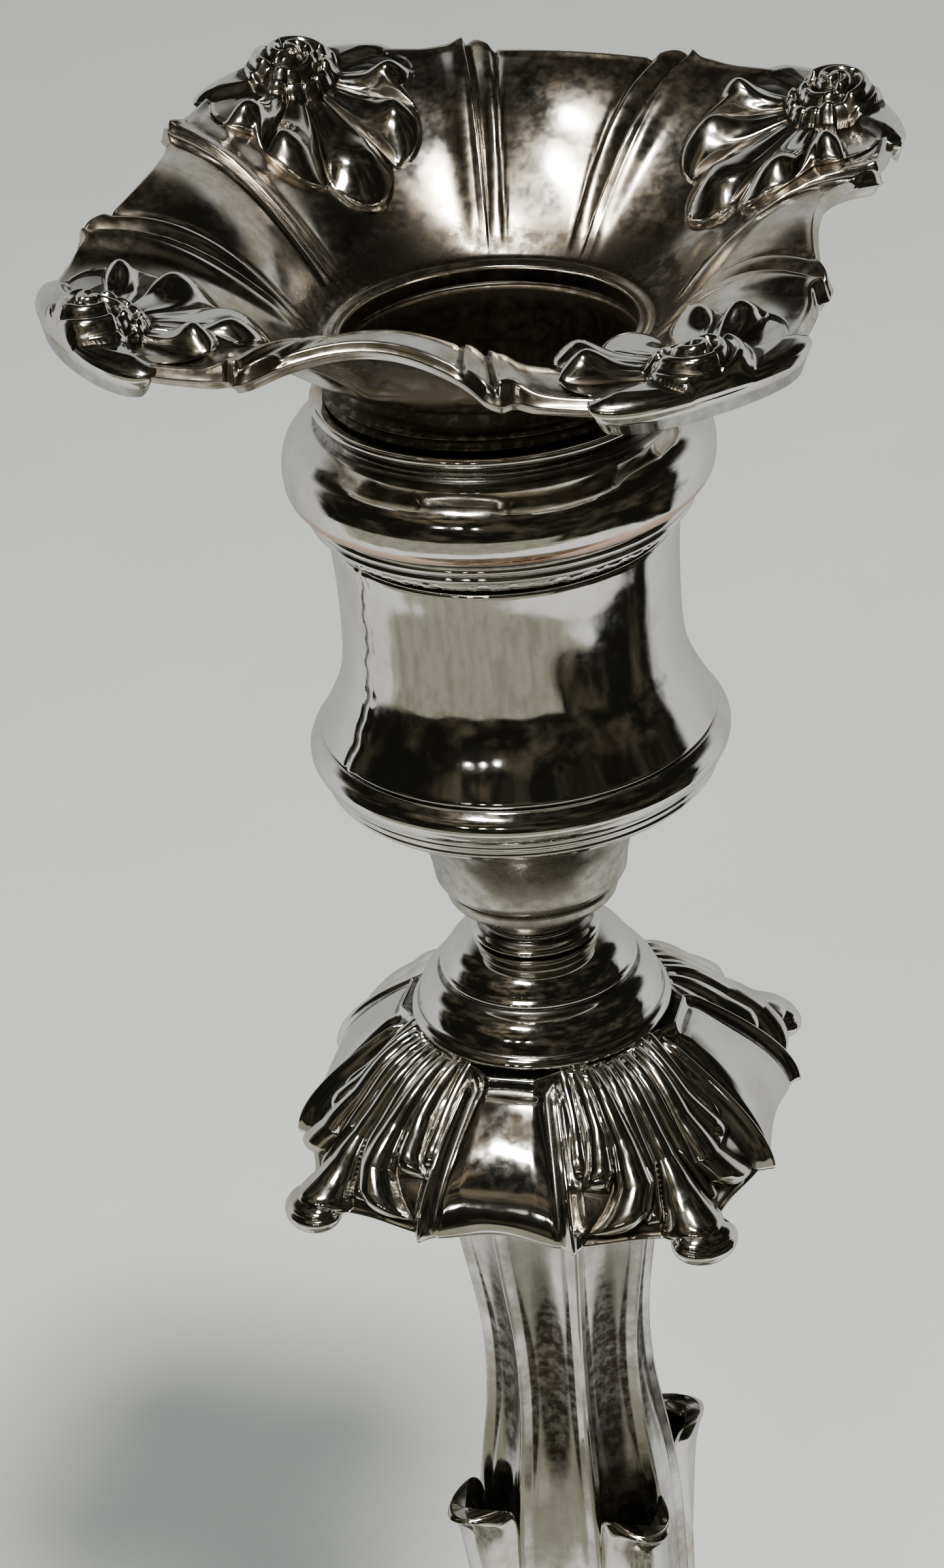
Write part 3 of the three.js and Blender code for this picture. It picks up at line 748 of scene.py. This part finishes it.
def shoulder_skirt():
    """Square skirt: flat top, bulging plain panels between ribs, open below. Its corners are sunk
    under their shells."""
    nominal_r, wall = 20, SHOULDER_WALL
    section = outline([
        (ROD_HOLE_R, -wall), (ROD_HOLE_R, 0), (SHOULDER_FLAT_R, 0), (nominal_r, 0),
        (nominal_r + 0.12, -wall / 2, -0.2), (nominal_r, -wall), (SHOULDER_FLAT_R, -wall),
    ], 0.22)
    azimuth = crowded(SKIRT_STEPS, SHOULDER_EDGE["rib_angle"])[None, :]
    nominal, height = section[:, :1], section[:, 1:]
    share = np.clip((nominal - SHOULDER_FLAT_R) / (nominal_r - SHOULDER_FLAT_R), 0, 1.02)
    angle = np.abs(from_panel(azimuth))
    radius, _ = skirt(azimuth, share, height)
    aside = radius * np.sin(angle - SHOULDER_EDGE["rib_angle"])
    outside = height > -wall / 2
    rib = (0.55 * bump(aside, 0.3) - 0.2 * bump(aside + 0.9, 0.3)) * ease(0.04, 0.2, share)
    sunk = -1.1 * ease(0.3, 1.6, aside) * ease(0.05, 0.5, share)
    collar = 0.5 * bump(share - 0.05, 0.035) - 0.2 * bump(share - 0.13, 0.05)
    across = np.clip(angle / SHOULDER_EDGE["rib_angle"], 0, 1)
    belly = 0.45 * np.cos(across * QUARTER) * np.sin(share * math.pi)
    radius, z = skirt(azimuth, share, height + outside * (rib + collar + belly) + sunk)
    radius = np.where(nominal < SHOULDER_FLAT_R, nominal, radius)
    z = np.where(nominal < SHOULDER_FLAT_R, SHOULDER_Z + height, z)
    grid = polar(azimuth, radius, z + HOLE_Z)
    build("shoulder_skirt", "stick", SILVER, grid, replaces=["shoulder_body"])


def gadroons(side, down, lobes):
    """Height of a fan of lobes, in half widths. side runs from -1 to 1 across and down from 0 to 1.
    A lobe is half-round across, mirrored to both sides, and ends in a round drop. The highest lobe
    shows."""
    height = np.zeros(np.broadcast(side, down).shape)
    for shares, places, widths, end in lobes:
        place = np.interp(down, shares, places)
        width = np.interp(down, shares, widths)
        nose = dome(np.clip((down - end + 0.12) / 0.12, 0, 1))
        height = np.maximum(height, width * dome((np.abs(side) - place) / width) * nose)
    return height


def there_and_back(front, back):
    """Places from -1 to 1 across a shell's face and back across its underside, and which of them are
    on the face."""
    places = np.concatenate([np.linspace(-1, 1, front), np.linspace(1, -1, back)[1:-1]])
    return places[None, :], (np.arange(places.size) < front)[None, :]


def shoulder_palmette(corner):
    """Nine gadroons falling from the narrow top; the outer ones end halfway down in drops, the next
    curl out below them, and the middle one ends in a bulb at the corner tip."""
    half = 27.2 * DEGREE
    across, top = there_and_back(190, 26)
    down = np.linspace(0.03, 1, 115)[:, None]
    azimuth = DIAGONAL + across * half
    radius, _ = skirt(azimuth, down, 0)
    ridge = gadroons(across, down, SHOULDER_LOBES) * radius * half
    sides = dome(np.clip((np.abs(across) - 0.97) / 0.03, 0, 1))
    foot = dome(np.clip((down - 0.985) / 0.015, 0, 1))
    lip = 0.5 * bump(down - 0.985, 0.018)
    relief = -1.15 * ease(0, 0.4, down) + (0.1 + ridge + lip) * sides * foot
    under = -1.7 * ease(0, 0.4, down) - 0.2
    radius, height = skirt(azimuth, down, np.where(top, relief, under))
    grid = polar(azimuth + corner * QUARTER, radius, height + HOLE_Z)
    shell(f"shoulder_palmette_{corner + 1}", "stick", grid, replaces=[f"shoulder_shell_{corner + 1}"])


def shoulder_bead(corner):
    """Rolled bead at the corner tip, an ellipsoid with a groove round its waist."""
    turn = np.linspace(0.02, math.pi - 0.02, 40)[:, None]
    around = circle(56)[None, :]
    groove = 1 - 0.06 * bump(turn - 1.2, 0.10)
    away = BEAD_R + BEAD_HALF[0] * np.sin(turn) * np.cos(around) * groove
    side = BEAD_HALF[1] * np.sin(turn) * np.sin(around) * groove
    z = SHOULDER_Z - 10.9 + BEAD_HALF[2] * np.cos(turn) - 0.10 * (away - BEAD_R)
    x, y = on_corner(corner, away, side)
    shell(f"shoulder_bead_{corner + 1}", "stick", np.stack([x, y, HOLE_Z + z], -1))


# ------------------------------------------------------------------ stem

def fluted(azimuth, radius, height):
    """Eight hollow faces; at each corner between them a crest stands between two fine lines."""
    face = azimuth - DIAGONAL * np.round(azimuth / DIAGONAL)
    outer = radius > ROD_HOLE_R + 1
    hollow = 0.95 * np.cos(4 * face)
    aside = radius * (np.abs(face) - DIAGONAL / 2)
    crest = 0.22 * bump(aside, 0.3) - 0.10 * bump(np.abs(aside) - 0.8, 0.25)
    corner_round = 1 / np.cos(face * 0.97)
    return np.where(outer, radius * corner_round - hollow + crest, radius), height + 0 * azimuth


def stem():
    """The upper stem and the foot below the knop, both fluted, and the knop between them."""
    side = eased([
        (9.2, -64.1), (9.1, -70), (8.95, -78), (8.5, -83), (7.6, -89), (6.9, -94), (6.7, -98),
        (6.95, -103), (7.5, -107), (8.2, -111), (8.6, -116), (8.75, -124), (8.7, -143),
    ])
    section = outline([(ROD_HOLE_R, -143), (ROD_HOLE_R, -64.1)] + side, 0.7)
    grid = turned(section, circle(FLUTE_STEPS), HOLE_Z, fluted)
    build("stem_shaft", "stick", STEM_SILVER, grid, replaces=["stem_upper"])
    foot = [(ROD_HOLE_R, 52.3), (ROD_HOLE_R, 80), (8, 80), (13.6, 54.6, -2.6), (13.8, 52.3)]
    grid = turned(outline(foot, 0.5), circle(FLUTE_STEPS), 0, fluted)
    build("stem_foot_fluted", "stick", STEM_SILVER, grid, replaces=["stem_foot"])
    section = outline([
        (ROD_HOLE_R, 80.3), (ROD_HOLE_R, 96.7), (8.3, 96.7), (8.3, 94.9, 0.6), (8.1, 94.3), (8.3, 93.6),
        (8.4, 83.6, 2.6), (8.1, 82.9), (8.1, 81.8), (8.1, 80.3, 0.6),
    ], 0.3)
    grid = turned(section, circle(ROUND_STEPS))
    build("stem_knop_turned", "stick", STEM_SILVER, grid, replaces=["stem_knop"])


def stem_lappet(corner):
    """Broad leaf on a corner face. A section is carried up a spine that leaves the stem and rolls
    outward at the top. Its sides bend back to the stem by the square of the distance from the
    middle, so that the leaf is a cup with a dark pocket behind the lip."""
    spine = np.array(eased([
        (8.6, -143), (9.1, -136), (9.9, -129), (10.9, -122.5), (11.5, -117.5), (11.9, -114.2),
        (12.4, -112.4), (13.1, -111.7), (13.6, -112.2),
    ]))
    along = np.concatenate([[0], np.cumsum(np.linalg.norm(np.diff(spine, axis=0), axis=1))])
    even = np.linspace(0, along[-1], 110)
    path = np.stack([np.interp(even, along, spine[:, k]) for k in (0, 1)], -1)
    slope = np.gradient(path, axis=0)
    slope /= np.linalg.norm(slope, axis=1, keepdims=True)
    share = (even / even[-1])[:, None]
    around = circle(100)[None, :]
    side = np.cos(around)
    front = np.sin(around) > 0
    tip = dome(np.clip((share - 0.93) / 0.07, 0, 1))
    width = (3.3 + 0.9 * ease(0.3, 0.85, share)) * (0.7 + 0.3 * tip)
    thick = (0.14 + 0.4 * dome(side * 0.99)) * (0.25 + 0.75 * tip)
    vein = front * 0.22 * bump(np.abs(side) - 0.86, 0.10) * tip
    lift = np.where(front, thick + vein, -thick)
    cupped = 3.0 * side ** 2 * ease(0.35, 0.95, share)
    radius = path[:, :1] + lift * slope[:, 1:] - cupped
    height = path[:, 1:] - lift * slope[:, :1] + 0.25 * cupped
    azimuth = DIAGONAL + side * width / path[:, :1] + corner * QUARTER
    grid = polar(azimuth, radius, height + HOLE_Z)
    shell(f"stem_lappet_{corner + 1}", "stick", grid, replaces=[f"stem_leaf_{corner + 1}"])


# ------------------------------------------------------------------ base

def spreading(azimuth, radius, height):
    """Base surface: radius runs out in equal shares, and height falls by a power of a sine."""
    share = np.clip((radius - BASE_TOP_R) / (BASE_NOMINAL_R - BASE_TOP_R), 0, 1)
    edge = edge_radius(BASE_EDGE, azimuth) + np.clip(radius - BASE_NOMINAL_R, 0, None)
    spread = np.where(radius <= BASE_TOP_R, radius, BASE_TOP_R + (edge - BASE_TOP_R) * share)
    return spread, BASE_TOP_Z + height - BASE_FALL * np.sin(share * QUARTER) ** 0.8


def base():
    """The round well and the square spreading base with its upright edge."""
    section = outline([
        (12.6, 52), (15.3, 52), (15.3, 50, 0.55), (27, 33.6, -3.4), (28, 32.2), (29.4, 31.7, 0.1),
        (29.5, 30.3, 0.3), (25, 30.3), (25, 32.5), (14.6, 42), (13.6, 49), (12.6, 50.5),
    ], 0.4)
    build("base_well", "stick", SILVER, turned(section, circle(ROUND_STEPS)), replaces=["base_dome"])
    foot = BASE_CLEARANCE - (BASE_TOP_Z - BASE_FALL)
    section = outline([
        (24, -BASE_WALL), (24, 0), (BASE_TOP_R, 0), (BASE_NOMINAL_R, 0), (51, -1.4, 0.35),
        (50.4, -2.6, -0.2), (51, foot + 1), (50.8, foot, 0.2), (50, foot), (49.3, -3.2),
        (49, -BASE_WALL), (BASE_TOP_R, -BASE_WALL),
    ], 0.5)
    azimuth = circle(BASE_STEPS)[None, :]
    radius, height = spreading(azimuth, section[:, :1], section[:, 1:])
    angle = np.abs(from_panel(azimuth))
    aside = radius * np.sin(angle - BASE_EDGE["rib_angle"])
    shown = (section[:, 1:] > -0.45) & (section[:, :1] < BASE_NOMINAL_R - 0.2)
    share = np.clip((section[:, :1] - BASE_TOP_R) / (BASE_NOMINAL_R - BASE_TOP_R), 0, 1)
    crest = 0.8 * bump(aside, 0.6) + 0.35 * bump(np.abs(aside) - 1.8, 0.5)
    grid = polar(azimuth, radius, height + shown * crest * ease(0.03, 0.15, share))
    build("base_spreading", "stick", SILVER, grid, replaces=["base_pan"])


def base_palmette(corner):
    """Nine gadroons spreading over a corner of the base."""
    half = 21.5 * DEGREE
    across, top = there_and_back(150, 22)
    down = np.linspace(0, 1, 90)[:, None]
    azimuth = DIAGONAL + across * half
    nominal = BASE_TOP_R + (BASE_NOMINAL_R - BASE_TOP_R) * (0.42 + 0.58 * down)
    reach, _ = spreading(azimuth, nominal + 0 * across, 0)
    ridge = gadroons(across, down, SHOULDER_LOBES) * reach * half * 0.55
    sides = dome(np.clip((np.abs(across) - 0.97) / 0.03, 0, 1))
    foot = dome(np.clip((down - 0.97) / 0.03, 0, 1))
    knob = 2.4 * bump(across, 0.16) * bump(1 - down, 0.13)
    relief = (0.3 + ridge + knob) * sides * ease(0, 0.06, down) * foot
    radius, height = spreading(azimuth, nominal + 0 * across, np.where(top, relief, -0.3))
    grid = polar(azimuth + corner * QUARTER, radius, height)
    name = f"base_palmette_{corner + 1}"
    shell(name, "stick", grid, replaces=[f"base_shell_{corner + 1}"], dent=0.035)


def baize():
    """Felt pad with a soft rounded edge, its outline the base's own, set in."""
    inset, rows = 1.4, 30
    azimuth = circle(240)[None, :]
    edge = edge_radius(BASE_EDGE, azimuth) - inset
    share = np.concatenate([np.linspace(0.03, 1, rows), np.linspace(1, 0.03, rows)])[:, None]
    upper = (np.arange(2 * rows) >= rows)[:, None]
    soft = PAD_TOP_Z / 2 * dome(np.clip((share - 0.985) / 0.015, 0, 1))
    height = PAD_TOP_Z / 2 + np.where(upper, soft, -soft) + 0 * azimuth
    grid = polar(azimuth, edge * share, height)
    build(
        "baize_felt", "stick", BAIZE, grid, rings=False, dent=0.0, replaces=["baize_pad"],
    )


# ------------------------------------------------------------------ assembly

def dress_cad_nodes():
    """The hidden working pieces keep their own shape and get a finish."""
    finishes = {
        "tie_rod": IRON, "rod_washer": IRON, "rod_nut": IRON, "loading": PITCH,
        "base_cover": PAINTED_SHADE_SILVER,
    }
    for node, material in finishes.items():
        for place in bpy.data.objects[node].material_slots:
            place.material = material


nozzle_pan()
nozzle_tube()
socket_cup()
socket_mouldings()
shoulder_skirt()
stem()
base()
baize()
for quarter in range(4):
    nozzle_palmette(quarter)
    shoulder_palmette(quarter)
    shoulder_bead(quarter)
    stem_lappet(quarter)
    base_palmette(quarter)
dress_cad_nodes()


# ------------------------------------------------------------------ studio

def floor():
    """Plain pale floor, a very wide flat square that the silver doesn't mirror."""
    material, tree, shader = node_material("pale_floor")
    place = wire(tree, "ShaderNodeTexCoord").outputs["Object"]
    grain = noise(tree, place, 25, 4, 0.6)
    colour = mixed(tree, grain, (0.475, 0.49, 0.47, 1), (0.52, 0.535, 0.51, 1))
    tree.links.new(colour, shader.inputs["Base Color"])
    shader.inputs["Roughness"].default_value = 0.8
    mesh = bpy.data.meshes.new("floor")
    half = 6.0
    corners = [(-half, -half, 0), (half, -half, 0), (half, half, 0), (-half, half, 0)]
    mesh.from_pydata(corners, [], [(0, 1, 2, 3)])
    mesh.materials.append(material)
    plane = bpy.data.objects.new("floor", mesh)
    bpy.context.scene.collection.objects.link(plane)
    plane.visible_glossy = False


CAMERA_TURN = -75 * DEGREE  # azimuth of the camera seen from the object


def toward(azimuth, elevation):
    """Unit vector in a direction."""
    level = math.cos(elevation)
    return Vector((level * math.cos(azimuth), level * math.sin(azimuth), math.sin(elevation)))


def surroundings():
    """Pale studio that the silver mirrors: white paper behind and close below, a dim beige wall low
    in front, shaded ground at the foot, and darkness in front and overhead but for a warm glow
    round the lamps. Each direction is taken as an angle from the camera's side and a height, both
    in degrees. Dull surfaces are lit by the softboxes alone."""
    world = bpy.data.worlds.new("studio")
    bpy.context.scene.world = world
    world.use_nodes = True
    world.cycles_visibility.diffuse = False
    tree = world.node_tree
    back = tree.nodes["Background"]
    way = wire(tree, "ShaderNodeTexCoord").outputs["Generated"]
    part = wire(tree, "ShaderNodeSeparateXYZ", {0: way})
    x, y, z = (part.outputs[k] for k in range(3))

    def add(first, second):
        return calc(tree, "ADD", first, second)

    def times(first, second):
        return calc(tree, "MULTIPLY", first, second)

    ahead = add(times(x, math.cos(CAMERA_TURN)), times(y, math.sin(CAMERA_TURN)))
    aside = add(times(x, -math.sin(CAMERA_TURN)), times(y, math.cos(CAMERA_TURN)))
    ripple = times(add(noise(tree, way, 2.6, 3, 0.55), -0.5), 30)
    bearing = times(calc(tree, "ARCTAN2", aside, ahead), 180 / math.pi)
    height = add(times(calc(tree, "ARCSINE", z), 180 / math.pi), times(ripple, 0.15))
    sweep = add(bearing, ripple)
    spread = calc(tree, "ABSOLUTE", sweep)

    in_front = between(tree, spread, 110, 100)
    room = times(in_front, between(tree, height, -20, -18))
    raised = between(tree, add(height, times(sweep, 0.1)), -27, -25.5)
    flag = times(times(in_front, between(tree, sweep, 24, 30)), raised)
    limit = between(tree, spread, 118, 140, 12, 30)
    ceiling = between(tree, add(height, times(limit, -1)), 0, 12)
    dark = calc(tree, "MAXIMUM", calc(tree, "MAXIMUM", room, flag), ceiling)
    arch = times(times(add(sweep, 25), add(sweep, 25)), -0.0013)
    wall = times(between(tree, spread, 92, 84), between(tree, add(height, arch), -38.5, -37))
    ground = times(between(tree, spread, 80, 55), between(tree, height, -45, -50))

    behind = between(tree, spread, 60, 175)
    paper = mixed(tree, behind, (0.84, 0.84, 0.82, 1), (0.43, 0.44, 0.43, 1))
    fleck = between(tree, noise(tree, way, 14, 4, 0.6), 0.4, 0.65)
    beige = mixed(tree, fleck, (0.33, 0.32, 0.25, 1), (0.24, 0.235, 0.18, 1))
    shaded = mixed(tree, fleck, (0.30, 0.295, 0.25, 1), (0.07, 0.068, 0.05, 1))
    shade = between(tree, noise(tree, way, 3, 4, 0.6), 0.45, 0.75)
    gloom = mixed(tree, shade, (0.008, 0.008, 0.006, 1), (0.07, 0.06, 0.042, 1))
    beside, above = add(sweep, 37), add(height, -50)
    glow = between(tree, add(times(beside, beside), times(above, above)), 1300, 60)
    broken = between(tree, noise(tree, way, 7, 3, 0.6), 0.42, 0.62, 0.0, 1)
    gloom = mixed(tree, times(glow, broken), gloom, (0.20, 0.165, 0.105, 1))
    low = mixed(tree, wall, mixed(tree, ground, paper, shaded), beige)
    tree.links.new(mixed(tree, dark, low, gloom), back.inputs["Color"])
    back.inputs["Strength"].default_value = 1.0


def lamp(name, azimuth, elevation, distance, size, power, colour=(1, 0.97, 0.92), glints=True):
    """A round area light on a sphere about the socket, aimed at it. It is either mirrored in the
    silver (glints) or lights the dull surfaces and casts the shadows."""
    data = bpy.data.lights.new(name, "AREA")
    data.shape = "DISK"
    data.size = size
    data.energy = power
    data.color = colour
    centre = Vector((0, 0, (HOLE_Z - 40) * MM))
    way = toward(azimuth, elevation)
    light = bpy.data.objects.new(name, data)
    light.location = centre + way * distance
    light.rotation_euler = way.to_track_quat("Z", "Y").to_euler()
    light.visible_glossy = glints
    light.visible_diffuse = not glints
    bpy.context.scene.collection.objects.link(light)


def lamps():
    """Two rows of ceiling spots in front to the left, a low row, and broad soft lights that aren't
    mirrored."""
    for row, elevation in enumerate((52, 72)):
        for column in (-1, 0, 1):
            azimuth = CAMERA_TURN - (29 - 7 * column) * DEGREE
            lamp(f"spot_{row}_{column + 1}", azimuth, elevation * DEGREE, 1.6, 0.15, 5.5)
    for column in (-1, 0, 1):
        azimuth = CAMERA_TURN - (24 - 9 * column) * DEGREE
        lamp(f"low_spot_{column + 1}", azimuth, 14 * DEGREE, 1.6, 0.06, 0.3)
    warm, cool = (1, 1, 0.97), (0.97, 1, 1)
    lamp("key_softbox", CAMERA_TURN + 18 * DEGREE, 58 * DEGREE, 1.5, 0.20, 58.0, warm, False)
    lamp("side_softbox", CAMERA_TURN - 12 * DEGREE, 40 * DEGREE, 1.6, 0.30, 10.0, cool, False)
    lamp("top_softbox", CAMERA_TURN + 180 * DEGREE, 75 * DEGREE, 1.6, 1.6, 14.0, cool, False)


def camera():
    """Camera in front and to the right of a plain panel, looking down on the nozzle."""
    above, distance = 23.29 * DEGREE, 302.2
    facing, down, roll = 105.89 * DEGREE, 29.99 * DEGREE, -4.91 * DEGREE
    place = toward(CAMERA_TURN, above) * distance
    place.z += HOLE_Z
    forward = toward(facing, -down)
    level = forward.cross(Vector((0, 0, 1))).normalized()
    upright = level.cross(forward)
    right = level * math.cos(roll) + upright * math.sin(roll)
    up = right.cross(forward)
    data = bpy.data.cameras.new("camera")
    data.sensor_width = 36
    data.lens = 89.96
    data.clip_start = 0.01
    eye = bpy.data.objects.new("camera", data)
    axes = Matrix((right, up, -forward)).transposed()
    eye.matrix_world = Matrix.Translation(place * MM) @ axes.to_4x4()
    bpy.context.scene.collection.objects.link(eye)
    bpy.context.scene.camera = eye


floor()
surroundings()
lamps()
camera()
